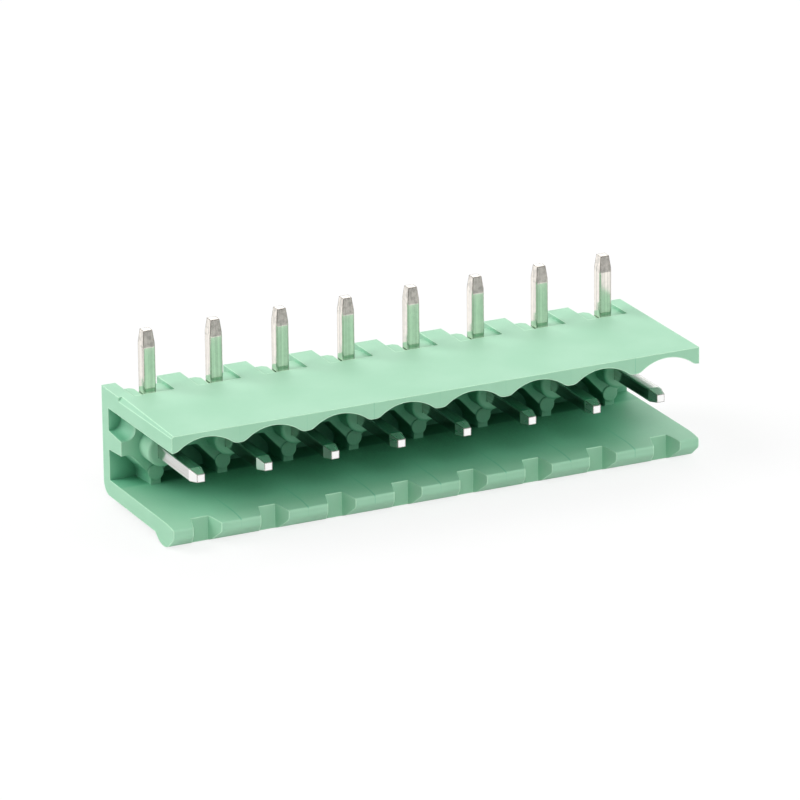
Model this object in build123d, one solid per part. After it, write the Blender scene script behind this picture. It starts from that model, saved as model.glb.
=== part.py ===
"""Eight-pole right-angle board header: one moulded housing and eight bent square pins.

Lengths are in millimetres. The row of poles runs along X, the mouth that takes the plug
faces -Y, and the face that lies on the circuit board looks up (+Z) with the solder tails
above it. Z = 0 is the lowest line of the bead under the lip. X and Y are centred on the body.
"""
import os
from math import atan2, degrees
from build123d import *

# The row of poles
POLES = 8
PITCH = 5.08

# The housing, a C-shaped shell that is open at the front and at both ends
DEPTH = 12.0
HEIGHT = 8.5
BACK_WALL = 1.1
LOWER_WALL = 1.22
HEEL_RADIUS = 0.95

# The board plate and the shallow groove that runs under it at each pole
PLATE_FRONT = 1.22
PLATE_REAR = 1.36
GROOVE_RISE = 0.82
GROOVE_LAND = 0.75
GROOVE_EDGE_RADIUS = 0.7

# The lip of the lower wall with its lead-in, its bead and one notch per pole
LEAD_IN_LENGTH = 1.6
LEAD_IN_DROP = 0.16
LIP_FACE = 0.64
LIP_EDGE_RADIUS = 0.15
BEAD_INSET = 1.8
BEAD_DROP = 0.6
BEAD_RADIUS = 1.75
BEAD_NECK_RADIUS = 0.3
LIP_CHAMFER = 1.0
LIP_RADIUS = 0.4
NOTCH_MOUTH = 2.11
NOTCH_BACK = 1.28
NOTCH_DEPTH = 1.38

# The pins, bent from square wire
PIN_SIZE = 0.95
PIN_EDGE = 0.07
BEND_RADIUS = 0.8
ARM_DROP = 3.72
ARM_INSET = 0.95
ARM_POINT = 1.0
ARM_TIP = 0.58
TAIL_REACH = 4.35
TAIL_INSET = 2.16
TAIL_POINT = 1.2
TAIL_TIP = 0.66

# The web across the mouth that carries the pins
WEB_DEPTH = 2.15
WINDOW_TAPER = 0.18
BAR_HEIGHT = 1.05
FOOT_WIDTH = 0.74
FOOT_HEIGHT = 0.78
KNEE_RADIUS = 1.0
SPAN_FLAT = 1.32
SPAN_RADIUS = 0.35
NECK_WIDTH = 2.9
NECK_RADIUS = 0.7
BOSS_DIAMETER = 2.4
BOSS_REACH = 1.6
BOSS_RADIUS = 0.25
PEG_DIAMETER = 1.14
PEG_DROP = 2.06
PEG_REACH = 0.1

# The pockets that the solder tails stand in
RIB_WIDTH = 1.77
END_RIB_WIDTH = 1.05
POCKET_DEPTH = 3.13
LEDGE_DROP = 0.25
LEDGE_DEPTH = 2.3
POCKET_DROP = 1.3
SLOT_CLEARANCE = 0.08
SLOT_MOUTH_CHAMFER = 0.3

# The bevel along the left end of the plate
BEVEL_REAR = 0.3
BEVEL_FRONT = 0.14
BEVEL_OVERRUN = 0.18

# How far a cutter runs past the plastic, the share of its wall that an edge may take, and
# the handle that makes a Bezier curve follow a quarter circle, as a share of its radius
OVERCUT = 1.0
EDGE_SHARE = 0.9
ROUND_HANDLE = 0.5523

LENGTH = POLES * PITCH
FRONT = -DEPTH / 2
REAR = DEPTH / 2
BACK_INNER = REAR - BACK_WALL
FLOOR = BEAD_DROP + LOWER_WALL
ARM_Z = HEIGHT - ARM_DROP
TAIL_Y = REAR - TAIL_INSET
WEB_FRONT = BACK_INNER - WEB_DEPTH
BAR_TOP = ARM_Z + BAR_HEIGHT / 2
BAR_LOW = ARM_Z - BAR_HEIGHT / 2
SLOT_WIDTH = PIN_SIZE + 2 * SLOT_CLEARANCE
POLE_X = [(i - (POLES - 1) / 2) * PITCH for i in range(POLES)]
BOUNDARY_X = [(i - POLES / 2) * PITCH for i in range(POLES + 1)]


def wall_plane(y):
    """The plane seen from the mouth: sketch x is X, sketch y is Z, and it stands at Y = y."""
    return Plane.XZ.offset(-y)


def box_between(x0, x1, y0, y1, z0, z1):
    middle = ((x0 + x1) / 2, (y0 + y1) / 2, (z0 + z1) / 2)
    return Pos(*middle) * Box(x1 - x0, y1 - y0, z1 - z0)


def rounded_at(face, corners, radius):
    """Rounds the corners of a sketch that lie at the given sketch points."""
    picked = [min(face.vertices(), key=lambda v: abs(v.X - c[0]) + abs(v.Y - c[1])) for c in corners]
    return fillet(picked, radius)


def shell_profile():
    """The end view of the shell, drawn with sketch x along Y and sketch y along Z."""
    bead_y = FRONT + BEAD_INSET
    chamfer_z = BEAD_RADIUS - (BEAD_RADIUS ** 2 - (BEAD_INSET - LIP_CHAMFER) ** 2) ** 0.5
    neck_y = bead_y + (BEAD_RADIUS ** 2 - (BEAD_RADIUS - BEAD_DROP) ** 2) ** 0.5
    lip_top = (FRONT, FLOOR - LEAD_IN_DROP)
    lip_low = (FRONT, FLOOR - LEAD_IN_DROP - LIP_FACE)
    bead_front = (FRONT + LIP_CHAMFER, chamfer_z)
    neck = (neck_y, BEAD_DROP)
    heel = (REAR, BEAD_DROP)
    outline = Polyline(
        neck, heel, (REAR, HEIGHT), (FRONT, HEIGHT), (FRONT, HEIGHT - PLATE_FRONT),
        (BACK_INNER, HEIGHT - PLATE_REAR), (BACK_INNER, FLOOR), (FRONT + LEAD_IN_LENGTH, FLOOR),
    )
    outline += TangentArc((FRONT + LEAD_IN_LENGTH, FLOOR), lip_top, tangent=(-1, 0))
    outline += Polyline(lip_top, lip_low, bead_front)
    outline += ThreePointArc(bead_front, (bead_y, 0), neck)
    face = make_face(outline)
    face = rounded_at(face, [neck], BEAD_NECK_RADIUS)
    face = rounded_at(face, [lip_low], LIP_RADIUS)
    face = rounded_at(face, [lip_top], LIP_EDGE_RADIUS)
    return rounded_at(face, [heel], HEEL_RADIUS)


def shell():
    """The plate, back wall and lower wall in one C, run along the whole row."""
    profile = Plane.YZ.offset(-LENGTH / 2) * shell_profile()
    return extrude(profile, amount=LENGTH)


def arches():
    """The wavy underside of the plate as a sketch: one arch per pole, and flat lands between them."""
    half = (PITCH - GROOVE_LAND) / 2
    end = LENGTH / 2 + OVERCUT
    feet = [(x + side, 0) for x in POLE_X for side in (-half, half)]
    outline = Polyline(feet[-1], (end, 0), (end, -OVERCUT), (-end, -OVERCUT), (-end, 0), feet[0])
    for x in POLE_X:
        outline += ThreePointArc((x - half, 0), (x, GROOVE_RISE), (x + half, 0))
    for right, left in zip(feet[1:-1:2], feet[2::2]):
        outline += Line(right, left)
    return rounded_at(make_face(outline), feet, GROOVE_EDGE_RADIUS)


def roof_grooves():
    """The cutter for the arches, which sink a little towards the back."""
    low = HEIGHT - PLATE_FRONT
    run = BACK_INNER - FRONT
    facing = (0, -run, PLATE_REAR - PLATE_FRONT)
    start = Plane(origin=(0, FRONT, low), x_dir=(1, 0, 0), z_dir=facing).offset(OVERCUT)
    room = box_between(-LENGTH, LENGTH, FRONT, BACK_INNER, low - 2 * OVERCUT, HEIGHT)
    return extrude(start * arches(), amount=-(run + 2 * OVERCUT)) & room


def window_core(points, roundings):
    """The cutter for one window of the web, which narrows towards the back as its core pin does.

    roundings pairs each radius with the corners that it rounds.
    """
    outline = make_face(Polyline(*points, close=True))
    narrowed = offset(outline, -WINDOW_TAPER, kind=Kind.INTERSECTION)
    for radius, corners in roundings:
        outline = rounded_at(outline, corners, radius)
        narrowed = rounded_at(narrowed, corners, radius)
    return loft([wall_plane(WEB_FRONT) * outline, wall_plane(BACK_INNER) * narrowed], ruled=True)


def upper_window():
    """The opening above the bar between two necks, centred on a pole boundary."""
    half = (PITCH - NECK_WIDTH) / 2
    corners = [(-half, BAR_TOP), (half, BAR_TOP)]
    radius = min(NECK_RADIUS, EDGE_SHARE * (half - WINDOW_TAPER))
    return window_core([*corners, (half, HEIGHT), (-half, HEIGHT)], [(radius, corners)])


def lower_window():
    """The opening below the bar between two feet, with slanted shoulders under the bar."""
    half = (PITCH - FOOT_WIDTH) / 2
    flat = SPAN_FLAT / 2
    knee = FLOOR + FOOT_HEIGHT
    knees = [(-half, knee), (half, knee)]
    span = [(flat, BAR_LOW), (-flat, BAR_LOW)]
    points = [(-half, 0), (half, 0), knees[1], *span, knees[0]]
    return window_core(points, [(KNEE_RADIUS, knees), (SPAN_RADIUS, span)])


def web():
    """The bar across the mouth with one neck above it and one foot below it at each pole."""
    low = FLOOR / 2
    high = HEIGHT - PLATE_REAR / 2
    half = LENGTH / 2
    wall = box_between(-half, half, WEB_FRONT, BACK_INNER + BACK_WALL / 2, low, high)
    windows = [upper_window(), lower_window()]
    return wall - [Pos(x, 0, 0) * window for x in BOUNDARY_X for window in windows]


def boss():
    """The boss that a pin leaves through, turned about the pin with a rounded rim."""
    side = BOSS_DIAMETER / 2
    flat = side - BOSS_RADIUS
    start = BOSS_RADIUS - BOSS_REACH
    handle = BOSS_RADIUS * ROUND_HANDLE
    rim = Bezier((side, start), (side, start - handle), (flat + handle, -BOSS_REACH), (flat, -BOSS_REACH))
    outline = Polyline((flat, -BOSS_REACH), (0, -BOSS_REACH), (0, 0), (side, 0), (side, start)) + rim
    return Pos(0, WEB_FRONT, ARM_Z) * revolve(make_face(outline), Axis.Y)


def peg():
    """The small flat peg on the foot below a boss."""
    outline = Pos(0, ARM_Z - PEG_DROP) * Circle(PEG_DIAMETER / 2)
    return extrude(wall_plane(WEB_FRONT) * outline, amount=PEG_REACH)


def notch():
    """One notch through the lip, wider at its mouth than at its back."""
    plan = make_face(Polyline(
        (-NOTCH_MOUTH / 2, FRONT), (-NOTCH_BACK / 2, FRONT + NOTCH_DEPTH),
        (NOTCH_BACK / 2, FRONT + NOTCH_DEPTH), (NOTCH_MOUTH / 2, FRONT), close=True,
    ))
    return extrude(Pos(0, 0, -OVERCUT) * plan, amount=FLOOR + 2 * OVERCUT)


def bend_relief():
    """The room that the inside of the bend needs at the corner between arm hole and slot."""
    inner = BEND_RADIUS - PIN_SIZE / 2
    y = TAIL_Y - PIN_SIZE / 2
    z = ARM_Z + PIN_SIZE / 2
    return box_between(-SLOT_WIDTH / 2, SLOT_WIDTH / 2, y - inner, y, z, z + inner)


def tail_pocket(left, right):
    """The room around one solder tail: a shallow pocket, a slot that fits the pin and a mouth.

    left and right are the distances from the pin to the ribs beside it.
    """
    front = REAR - POCKET_DEPTH
    ledge_rear = front + LEDGE_DEPTH
    slot_front = TAIL_Y - PIN_SIZE / 2
    slot_low = ARM_Z - PIN_SIZE / 2
    half = SLOT_WIDTH / 2
    behind = REAR + OVERCUT
    above = HEIGHT + OVERCUT
    shallow = box_between(-left, right, front, behind, HEIGHT - LEDGE_DROP, above)
    deep = box_between(-left, right, ledge_rear, behind, HEIGHT - POCKET_DROP, above)
    slot = box_between(-half, half, slot_front, behind, slot_low, above)
    pocket = shallow + deep + slot + bend_relief()
    mouth = [
        e for e in pocket.edges().filter_by(Axis.Z)
        if abs(abs(e.center().X) - half) < 0.01 and abs(e.center().Y - ledge_rear) < 0.01
    ]
    return chamfer(mouth, min(SLOT_MOUTH_CHAMFER, EDGE_SHARE * (min(left, right) - half)))


def tail_pockets():
    """One pocket per pole, with the two end ribs of their own width."""
    inner = (PITCH - RIB_WIDTH) / 2
    outer = PITCH / 2 - END_RIB_WIDTH
    left = [outer] + [inner] * (POLES - 1)
    right = left[::-1]
    return [Pos(x, 0, 0) * tail_pocket(a, b) for x, a, b in zip(POLE_X, left, right)]


def arm_hole():
    """The square hole through boss and web, the size of the pin."""
    half = PIN_SIZE / 2
    start = WEB_FRONT - BOSS_REACH - OVERCUT
    return box_between(-half, half, start, TAIL_Y, ARM_Z - half, ARM_Z + half)


def end_bevel():
    """The tapering bevel along the left end of the plate, which stops on the end rib."""

    def corner(y, size):
        edge = make_face(Polyline((0, 0), (size, 0), (0, -size), close=True))
        return wall_plane(y) * (Pos(-LENGTH / 2, HEIGHT) * edge)

    return loft([corner(FRONT, BEVEL_FRONT), corner(REAR - POCKET_DEPTH + BEVEL_OVERRUN, BEVEL_REAR)])


def housing():
    """The whole moulding."""
    body = shell() - roof_grooves()
    body += web()
    body += [Pos(x, 0, 0) * stud for x in POLE_X for stud in (boss(), peg())]
    body -= [Pos(x, 0, 0) * cutter for x in POLE_X for cutter in (notch(), arm_hole())]
    body -= tail_pockets()
    return body - end_bevel()


def wire_section(size, edge):
    """The square wire with its four edges broken."""
    return chamfer(Rectangle(size, size).vertices(), edge)


def pointed(length, point, tip):
    """A straight length of wire along +Z from Z = 0 with four bevels at its far end."""
    section = wire_section(PIN_SIZE, PIN_EDGE)
    shank = extrude(section, amount=length - point)
    lean = degrees(atan2(PIN_SIZE - tip, 2 * point))
    cone = extrude(Rectangle(PIN_SIZE, PIN_SIZE), amount=point, taper=lean)
    return shank + Pos(0, 0, length - point) * (cone & extrude(section, amount=point))


def pin():
    """One bent pin: an arm into the mouth and a tail above the board face."""
    arm_end = TAIL_Y - BEND_RADIUS
    tail_start = ARM_Z + BEND_RADIUS
    corner = Plane.YZ * RadiusArc((arm_end, ARM_Z), (TAIL_Y, tail_start), -BEND_RADIUS)
    start = Plane(origin=(0, arm_end, ARM_Z), x_dir=(1, 0, 0), z_dir=(0, -1, 0))
    elbow = sweep(start * wire_section(PIN_SIZE, PIN_EDGE), path=corner)
    arm = start * pointed(arm_end - (FRONT + ARM_INSET), ARM_POINT, ARM_TIP)
    tail_length = HEIGHT + TAIL_REACH - tail_start
    tail = Pos(0, TAIL_Y, tail_start) * pointed(tail_length, TAIL_POINT, TAIL_TIP)
    return elbow + arm + tail


def write(name, shape):
    """Stores one node as a STEP file."""
    shape.label = name
    export_step(shape, os.path.join("parts", name + ".step"))


os.makedirs("parts", exist_ok=True)
write("housing", housing())
for number, pole_x in enumerate(POLE_X, 1):
    write(f"pin_{number}", Pos(pole_x, 0, 0) * pin())
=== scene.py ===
"""Looks of an eight-pole board header: satin green moulding and tin-plated pins on a white table."""
import math

import bpy
from mathutils import Matrix, Vector


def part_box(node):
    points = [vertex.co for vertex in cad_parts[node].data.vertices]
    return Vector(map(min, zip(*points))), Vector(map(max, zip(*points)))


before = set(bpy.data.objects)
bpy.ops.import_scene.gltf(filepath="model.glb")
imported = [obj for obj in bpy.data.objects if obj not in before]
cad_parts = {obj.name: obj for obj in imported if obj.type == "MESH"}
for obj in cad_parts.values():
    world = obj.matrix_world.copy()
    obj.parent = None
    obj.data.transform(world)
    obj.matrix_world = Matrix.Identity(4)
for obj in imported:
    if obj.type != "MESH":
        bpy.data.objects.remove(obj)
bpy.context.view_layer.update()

MM = 0.001
WHITE = (1.0, 1.0, 1.0, 1.0)

# Places on the part, in metres
POLES = sum(name.startswith("pin_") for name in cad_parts)
HOUSING_LOW, HOUSING_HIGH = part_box("housing")
PIN_LOW, PIN_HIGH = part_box("pin_1")
PITCH = (HOUSING_HIGH.x - HOUSING_LOW.x) / POLES
MOUTH = HOUSING_LOW.y
FLOOR_LOW, FLOOR_HIGH = 1.6 * MM, 1.9 * MM
FLOOR_SIDE = HOUSING_HIGH.x - 1.0 * MM
WEB_FRONT = 2.75 * MM
PLATE_LOW = 7.0 * MM
ARM_TOP = 5.3 * MM
ARM_END = PIN_LOW.y
ARM_POINT = ARM_END + 1.0 * MM
TAIL_END = PIN_HIGH.z
TAIL_POINT = TAIL_END - 1.2 * MM
ON_FACE = 0.02 * MM

# The camera stands where the photograph was taken from
CAMERA_AZIMUTH = -25.678
CAMERA_ELEVATION = 19.530
CAMERA_ROLL = -0.567
CAMERA_AIM = Vector((-0.2273, -0.0250, 6.0089)) * MM
CAMERA_DISTANCE = 449.18 * MM
CAMERA_LENS = 288.69
SENSOR_WIDTH = 36.0
CLIP_START, CLIP_END = 0.01, 20.0

# Edges, softened in both materials, and painted: paler as a painted highlight on the plastic, darker
# as painted shade on the tin
EDGE_ROUNDING = 0.11 * MM
EDGE_SHARE = 0.8
SAMPLES = 8

# Plastic: a slightly uneven green with a fine skin, outer edges painted paler as a painted highlight,
# and hollows painted deeper green as painted shade
PLASTIC_GREEN = (0.315, 0.585, 0.405, 1.0)
PLASTIC_CLOUD = (0.295, 0.565, 0.385, 1.0)
# Painted shade for the hollows, also the colour of the mould lines
PLASTIC_SHADE_AND_LINE = (0.09, 0.42, 0.245, 1.0)
# Painted shade, darkest in the deepest hollows and windows
PLASTIC_PIT_SHADE = (0.012, 0.14, 0.06, 1.0)
# Painted highlight for the outer edges
PLASTIC_EDGE_HIGHLIGHT = (0.62, 0.92, 0.69, 1.0)
PLASTIC_ROUGHNESS = 0.55
PLASTIC_IOR = 1.5
PLASTIC_LEAN = (0.003, 0.03)
EDGE_OPEN = (0.55, 0.85)
CLOUD_SCALE, CLOUD_RANGE, CLOUD_ROUGHNESS = 220.0, (0.35, 0.65), 0.12
SKIN_SCALE, SKIN_HEIGHT, SKIN_ROUGHNESS = 9000.0, 0.5, 0.08
SKIN_DEPTH, SKIN_STRENGTH = 0.01 * MM, 0.5

# Painted shade in the hollows: the openness below which the plastic is painted deeper green, and below
# which it is painted darkest
HOLLOW_REACH = 20 * MM
HOLLOW_OPEN, HOLLOW_PIT = 0.75, 0.135
WINDOW_OPEN, WINDOW_PIT = 1.1, 0.42
WINDOW_START, WINDOW_DEEP = WEB_FRONT + 0.05 * MM, WEB_FRONT + 0.5 * MM

# Mould lines between the poles, clearest at every fourth on the mouth and darker on the floor
MARK_WIDTH = 0.035 * MM
MARK_CORE, FLOOR_MARK = 0.4 * MARK_WIDTH, (0.6 * MARK_WIDTH, 2.2 * MARK_WIDTH)
MARK_FAINT, MARK_CLEAR, MARK_EVERY = 0.3, 0.7, 4
MARK_SHARE, FLOOR_MARK_SHARE = 0.4, 0.6
FLOOR_MARK_FADE = 4 * MM

# Tin: bright tails and cut ends, arms painted greyer and edges of tails and tips painted dark as
# painted shade, dull in the streaks and scuffs
TIN = (0.94, 0.89, 0.82, 1.0)
TIN_TIP = (0.92, 0.915, 0.905, 1.0)
TIN_CUT = (0.99, 0.985, 0.975, 1.0)
# Painted shade for the arms under the housing
TIN_ARM_SHADE = (0.68, 0.70, 0.69, 1.0)
TIN_DULL = (0.56, 0.54, 0.50, 1.0)
# Painted shade for the edges of the tails and tips
TIN_EDGE_SHADE = (0.24, 0.21, 0.18, 1.0)
TIN_LEAN = (0.003, 0.05)
ACROSS_WIRE, ALONG_WIRE = 6000.0, 60.0
SPOT_SCALE, SPOT_HEIGHT = 3000.0, 0.15
SCUFF_RANGE, LINE_RANGE = (0.42, 0.62), (0.38, 0.6)
LINE_WEAR, SCUFF_WEAR, TIP_WEAR = 0.4, 0.12, 0.35
ARM_WEAR, TAIL_CUT_WEAR = 0.6, 0.6
STREAK_DEPTH, STREAK_STRENGTH = 0.004 * MM, 0.3
TIN_ROUGHNESS, STREAK_ROUGHNESS = 0.15, 0.1
TAIL_TIP_ROUGHNESS, ARM_TIP_ROUGHNESS = 0.1, 0.14

# Table and room
TABLE_HALF = 3.0
TABLE_WHITE = (0.93, 0.93, 0.93, 1.0)
TABLE_GREY = (0.22, 0.22, 0.22, 1.0)
TABLE_FRONT = (50 * MM, 90 * MM)
TABLE_GLOW = 0.8
ROOM_LIGHT = 0.2
ROOM_SHADE = 0.8
ROOM_FRONT, ROOM_LOW = (0.2, 0.8), (0.25, 0.6)
SEEN_BY = ("Is Camera Ray", "Is Glossy Ray", "Is Transmission Ray")

# Soft boxes: the azimuth, elevation and watts of each
SOFT_BOX_DISTANCE = 0.6
SOFT_BOX_WIDTH = 0.45
SOFT_BOXES = {
    "front_box": (-10, 42, 1.7),
    "left_box": (-112, 38, 2.8),
    "back_box": (154, 40, 1.1),
    "right_box": (75, 20, 1.8),
}


class Amount:
    """A shader socket that adds a Math node for each operator used on it."""

    def __init__(self, finish, socket):
        self.finish = finish
        self.socket = socket

    def math(self, operation, *others):
        values = dict(enumerate((self, *others)))
        return self.finish.node("ShaderNodeMath", {"operation": operation}, values)

    def __add__(self, other):
        return self.math("ADD", other)

    def __radd__(self, other):
        return self.math("ADD", other)

    def __mul__(self, other):
        return self.math("MULTIPLY", other)

    def __rmul__(self, other):
        return self.math("MULTIPLY", other)

    def __truediv__(self, other):
        return self.math("DIVIDE", other)

    def __sub__(self, other):
        return self.math("SUBTRACT", other)

    def __rsub__(self, other):
        return self.finish.node("ShaderNodeMath", {"operation": "SUBTRACT"}, {0: other, 1: self})

    def __neg__(self):
        return self * -1

    def __gt__(self, other):
        return self.math("GREATER_THAN", other)

    def __lt__(self, other):
        return self.math("LESS_THAN", other)


class Finish:
    """The nodes of one material, or of the room, and the ways in which this file adds to them."""

    def __init__(self, owner):
        owner.use_nodes = True
        self.owner = owner
        self.tree = owner.node_tree
        self.tree.nodes.clear()

    def node(self, kind, settings=None, sockets=None, output=0):
        """Adds a node, first its settings and then its sockets, and returns one of its outputs."""
        made = self.tree.nodes.new(kind)
        for name, value in (settings or {}).items():
            setattr(made, name, value)
        for name, value in (sockets or {}).items():
            if isinstance(value, Amount):
                self.tree.links.new(value.socket, made.inputs[name])
            else:
                made.inputs[name].default_value = value
        return Amount(self, made.outputs[output])

    def place(self):
        """The point in the object's own frame, in metres."""
        return self.node("ShaderNodeTexCoord", output="Object")

    def parts(self, vector):
        """The three parts of a vector."""
        return [self.node("ShaderNodeSeparateXYZ", sockets={0: vector}, output=i) for i in range(3)]

    def noise(self, point, scale, detail):
        sockets = {"Vector": point, "Scale": scale, "Detail": detail}
        return self.node("ShaderNodeTexNoise", sockets=sockets)

    def streaks(self, point, scale):
        """Noise drawn out along the axis with the smallest scale."""
        stretched = self.node("ShaderNodeMapping", sockets={"Vector": point, "Scale": scale})
        return self.noise(stretched, 1.0, 2.0)

    def between(self, value, low, high):
        """0 below low, 1 above high and smooth between them."""
        settings = {"interpolation_type": "SMOOTHSTEP", "clamp": True}
        sockets = {"Value": value, "From Min": low, "From Max": high}
        return self.node("ShaderNodeMapRange", settings, sockets)

    def past(self, value, edge, softness):
        """0 before an edge, 1 past it, and smooth over the softness on either side."""
        return self.between(value, edge - softness, edge + softness)

    def blend(self, share, first, second):
        """Mixes two colours."""
        settings = {"data_type": "RGBA"}
        return self.node("ShaderNodeMix", settings, {0: share, 6: first, 7: second}, output=2)

    def by_camera(self):
        """1 for what the camera sees directly."""
        return self.node("ShaderNodeLightPath", output="Is Camera Ray")

    def seen(self):
        """1 for what the camera and reflections see, 0 for light that only falls on things."""
        rays = [self.node("ShaderNodeLightPath", output=name) for name in SEEN_BY]
        return (rays[0] + rays[1] + rays[2]).math("MINIMUM", 1)

    def openness(self, reach):
        """1 where a piece faces open air, falling to 0 deep in its hollows."""
        settings = {"samples": SAMPLES, "only_local": True}
        return self.node("ShaderNodeAmbientOcclusion", settings, {"Distance": reach}, "AO")

    def rounded_normal(self, radius):
        """The surface's normal with its sharp edges softened over the given radius."""
        return self.node("ShaderNodeBevel", {"samples": SAMPLES}, {"Radius": radius})

    def turned_away(self, normal, low, high):
        """0 on flat faces, rising to 1 where a softened normal leans away from the true one."""
        true = self.node("ShaderNodeNewGeometry", output="True Normal")
        settings = {"operation": "DOT_PRODUCT"}
        along = self.node("ShaderNodeVectorMath", settings, {0: normal, 1: true}, "Value")
        return self.between(1 - along, low, high)

    def bump(self, height, distance, strength, normal):
        sockets = {"Height": height, "Distance": distance, "Strength": strength, "Normal": normal}
        return self.node("ShaderNodeBump", sockets=sockets)

    def finish(self, shader, output="ShaderNodeOutputMaterial"):
        end = self.tree.nodes.new(output)
        self.tree.links.new(shader.socket, end.inputs["Surface"])
        return self.owner


def moulded_green():
    """Satin moulded plastic with a fine skin, soft edges and faint mould lines between the poles, with
    painted shade in its hollows and a painted highlight on its outer edges.
    """
    f = Finish(bpy.data.materials.new("moulded_green"))
    point = f.place()
    x, y, z = f.parts(point)
    cloud = f.noise(point, CLOUD_SCALE, 3.0)
    skin = f.noise(point, SKIN_SCALE, 2.0)
    colour = f.blend(f.between(cloud, *CLOUD_RANGE), PLASTIC_GREEN, PLASTIC_CLOUD)

    # Painted shade: hollows are painted deeper green by their openness, the more so inside the windows
    # of the web
    open_air = f.openness(HOLLOW_REACH)
    in_window = f.between(y, WINDOW_START, WINDOW_DEEP) * (z < PLATE_LOW)
    fully_open = in_window * (WINDOW_OPEN - HOLLOW_OPEN) + HOLLOW_OPEN
    colour = f.blend(1 - f.between(open_air, 0.0, fully_open), colour, PLASTIC_SHADE_AND_LINE)
    above_pit = in_window * (WINDOW_PIT - HOLLOW_PIT) + HOLLOW_PIT
    colour = f.blend(1 - f.between(open_air, 0.0, above_pit), colour, PLASTIC_PIT_SHADE)

    # Painted highlight: outer edges are painted paler
    rounded = f.rounded_normal(EDGE_ROUNDING)
    edge = f.turned_away(rounded, *PLASTIC_LEAN) * f.between(open_air, *EDGE_OPEN)
    colour = f.blend(edge * EDGE_SHARE, colour, PLASTIC_EDGE_HIGHLIGHT)

    # Mould lines on the faces of the mouth, then on the floor
    along_pole = (x / PITCH + POLES / 2).math("FRACT")
    to_line = along_pole.math("MINIMUM", 1 - along_pole) * PITCH
    number = (x / PITCH + POLES / 2 + 0.5).math("FLOOR")
    clear = ((number + 1) / MARK_EVERY).math("FRACT") < 0.1
    at_mouth = y < MOUTH + ON_FACE
    line = 1 - f.between(to_line, MARK_CORE, MARK_WIDTH)
    mark = line * (MARK_FAINT + clear * MARK_CLEAR) * at_mouth
    colour = f.blend(mark * MARK_SHARE, colour, PLASTIC_SHADE_AND_LINE)
    on_floor = (z < FLOOR_HIGH) * (z > FLOOR_LOW) * (x.math("ABSOLUTE") < FLOOR_SIDE)
    floor_line = (1 - f.between(to_line, *FLOOR_MARK)) * on_floor * f.between(-y, 0.0, FLOOR_MARK_FADE)
    colour = f.blend(floor_line * (1 - at_mouth) * FLOOR_MARK_SHARE, colour, PLASTIC_SHADE_AND_LINE)

    normal = f.bump(skin * SKIN_HEIGHT - mark, SKIN_DEPTH, SKIN_STRENGTH, rounded)
    uneven = (cloud - 0.5) * CLOUD_ROUGHNESS + (skin - 0.5) * SKIN_ROUGHNESS
    return f.finish(f.node("ShaderNodeBsdfPrincipled", sockets={
        "Base Color": colour,
        "Roughness": PLASTIC_ROUGHNESS + uneven,
        "IOR": PLASTIC_IOR,
        "Normal": normal,
    }))


def plated_tin():
    """Bright tin over drawn wire: fine streaks along the wire, duller and rougher at the tips, with
    painted shade: greyer arms and dark edges on the tails and tips.
    """
    f = Finish(bpy.data.materials.new("plated_tin"))
    point = f.place()
    _, y, z = f.parts(point)

    # The parts of a pin: tail, its tip and its cut end, arm, its tip and its cut end
    tail = f.between(z, ARM_TOP, ARM_TOP + 0.2 * MM)
    tail_tip = f.past(z, TAIL_POINT, 0.03 * MM)
    tail_cut = z > TAIL_END - ON_FACE
    arm_tip = 1 - f.past(y, ARM_POINT, 0.05 * MM)
    arm_cut = y < ARM_END + ON_FACE
    shank = (1 - tail) * (1 - arm_tip)

    # Streaks follow the wire
    along_tail = f.streaks(point, (ACROSS_WIRE, ACROSS_WIRE, ALONG_WIRE))
    along_arm = f.streaks(point, (ACROSS_WIRE, ALONG_WIRE, ACROSS_WIRE))
    streaks = along_tail * tail + along_arm * (1 - tail)
    spots = f.noise(point, SPOT_SCALE, 3.0)
    scuffs = f.between(spots, *SCUFF_RANGE)
    lines = f.between(streaks, *LINE_RANGE)
    wear = tail * (lines * LINE_WEAR + scuffs * (SCUFF_WEAR + tail_tip * TIP_WEAR))
    wear = wear + shank * lines * ARM_WEAR + tail_cut * TAIL_CUT_WEAR

    # Painted shade: the arms, under the housing, are painted greyer than the tails
    colour = f.blend(shank, f.blend(tail, TIN_TIP, TIN), TIN_ARM_SHADE)
    colour = f.blend(arm_cut, f.blend(wear, colour, TIN_DULL), TIN_CUT)
    rounded = f.rounded_normal(EDGE_ROUNDING)
    # Painted shade: the edges of the tails and tips are painted dark
    edge = f.turned_away(rounded, *TIN_LEAN) * (1 - shank)
    colour = f.blend(edge * EDGE_SHARE, colour, TIN_EDGE_SHADE)

    height = streaks * (tail + shank) + spots * tail * SPOT_HEIGHT
    tips = tail * tail_tip * TAIL_TIP_ROUGHNESS + (1 - tail) * arm_tip * ARM_TIP_ROUGHNESS
    return f.finish(f.node("ShaderNodeBsdfPrincipled", sockets={
        "Base Color": colour,
        "Roughness": TIN_ROUGHNESS + (streaks - 0.5) * STREAK_ROUGHNESS + tips,
        "Metallic": 1.0,
        "Normal": f.bump(height, STREAK_DEPTH, STREAK_STRENGTH, rounded),
    }))


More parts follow.
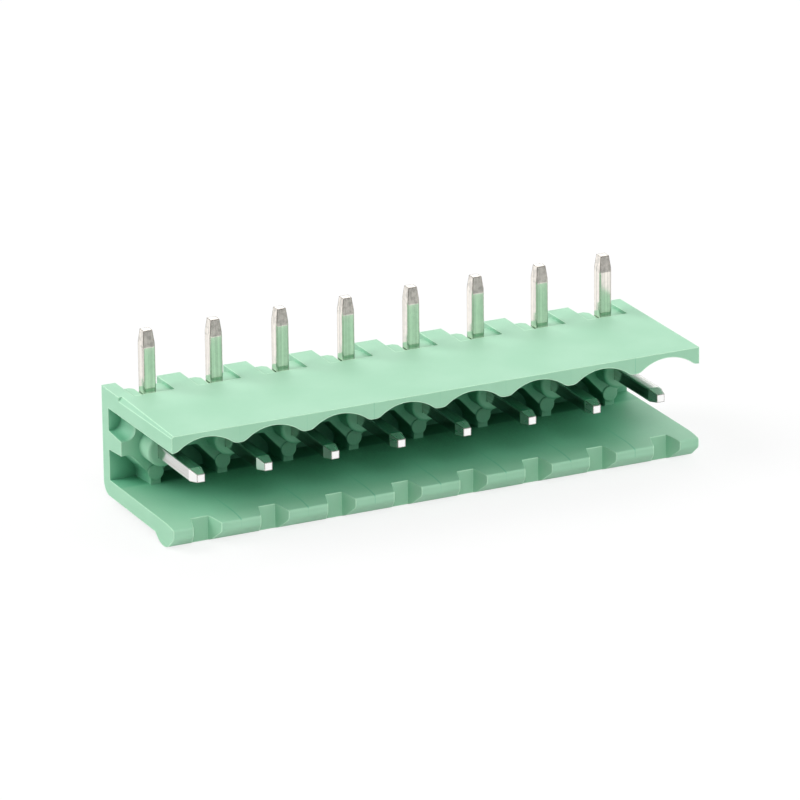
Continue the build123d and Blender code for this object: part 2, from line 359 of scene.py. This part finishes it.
def white_table():
    """A matt white table with a pale shadow, which reflections show grey where it is far in front."""
    f = Finish(bpy.data.materials.new("white_table"))
    _, y, _ = f.parts(f.place())
    seen = f.seen()
    white = 1 - f.between(-y, *TABLE_FRONT) * seen * (1 - f.by_camera())
    tone = f.blend(white, TABLE_GREY, TABLE_WHITE)
    matt = f.node("ShaderNodeBsdfDiffuse", sockets={"Color": tone})
    plain = f.node("ShaderNodeEmission", sockets={"Color": WHITE, "Strength": 1.0})
    sockets = {0: seen * white * TABLE_GLOW, 1: matt, 2: plain}
    return f.finish(f.node("ShaderNodeMixShader", sockets=sockets))


def white_room():
    """A white room that reflections show darker low on its front side."""
    f = Finish(bpy.data.worlds.new("white_room"))
    _, y, z = f.parts(f.node("ShaderNodeTexCoord", output="Generated"))
    low_front = f.between(-y, *ROOM_FRONT) * (1 - f.between(z, *ROOM_LOW))
    seen = f.seen()
    shown = 1 - low_front * (1 - f.by_camera()) * ROOM_SHADE
    strength = seen * shown + (1 - seen) * ROOM_LIGHT
    room = f.node("ShaderNodeBackground", sockets={"Color": WHITE, "Strength": strength})
    return f.finish(room, "ShaderNodeOutputWorld")


def dress():
    """Gives every piece of the header its finish."""
    green = moulded_green()
    tin = plated_tin()
    for name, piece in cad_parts.items():
        plastic = name == "housing"
        piece.data.materials.clear()
        piece.data.materials.append(green if plastic else tin)


def add_object(name, data):
    """A new object in the scene."""
    made = bpy.data.objects.new(name, data)
    bpy.context.scene.collection.objects.link(made)
    return made


def lay_table():
    """A table far larger than the view."""
    mesh = bpy.data.meshes.new("table")
    signs = [(-1, -1), (1, -1), (1, 1), (-1, 1)]
    corners = [(TABLE_HALF * across, TABLE_HALF * along, 0) for across, along in signs]
    mesh.from_pydata(corners, [], [(0, 1, 2, 3)])
    mesh.materials.append(white_table())
    add_object("table", mesh)


def way_to(azimuth, elevation):
    """The way from the header to a lamp or the camera. Azimuth 0 is straight in front of it."""
    a, e = math.radians(azimuth), math.radians(elevation)
    return Vector((math.sin(a) * math.cos(e), -math.cos(a) * math.cos(e), math.sin(e)))


def hang_soft_box(name, azimuth, elevation, power):
    """A square soft box that looks at the header from the given direction."""
    light = bpy.data.lights.new(name, "AREA")
    light.shape = "SQUARE"
    light.size = SOFT_BOX_WIDTH
    light.energy = power
    lamp = add_object(name, light)
    back = way_to(azimuth, elevation)
    lamp.location = CAMERA_AIM + back * SOFT_BOX_DISTANCE
    lamp.rotation_mode = "QUATERNION"
    lamp.rotation_quaternion = back.to_track_quat("Z", "Y")


def light_studio():
    """The room and its soft boxes."""
    bpy.context.scene.world = white_room()
    for name, (azimuth, elevation, power) in SOFT_BOXES.items():
        hang_soft_box(name, azimuth, elevation, power)


def stand_camera():
    """The camera at the photograph's viewing angle."""
    data = bpy.data.cameras.new("camera")
    data.lens = CAMERA_LENS
    data.sensor_width = SENSOR_WIDTH
    data.clip_start = CLIP_START
    data.clip_end = CLIP_END
    camera = add_object("camera", data)
    back = way_to(CAMERA_AZIMUTH, CAMERA_ELEVATION)
    level = back.to_track_quat("Z", "Y").to_matrix().to_4x4()
    roll = Matrix.Rotation(math.radians(CAMERA_ROLL), 4, "Z")
    camera.matrix_world = Matrix.Translation(CAMERA_AIM + back * CAMERA_DISTANCE) @ level @ roll
    bpy.context.scene.camera = camera


dress()
lay_table()
light_studio()
stand_camera()
bpy.context.scene.view_settings.view_transform = "Standard"
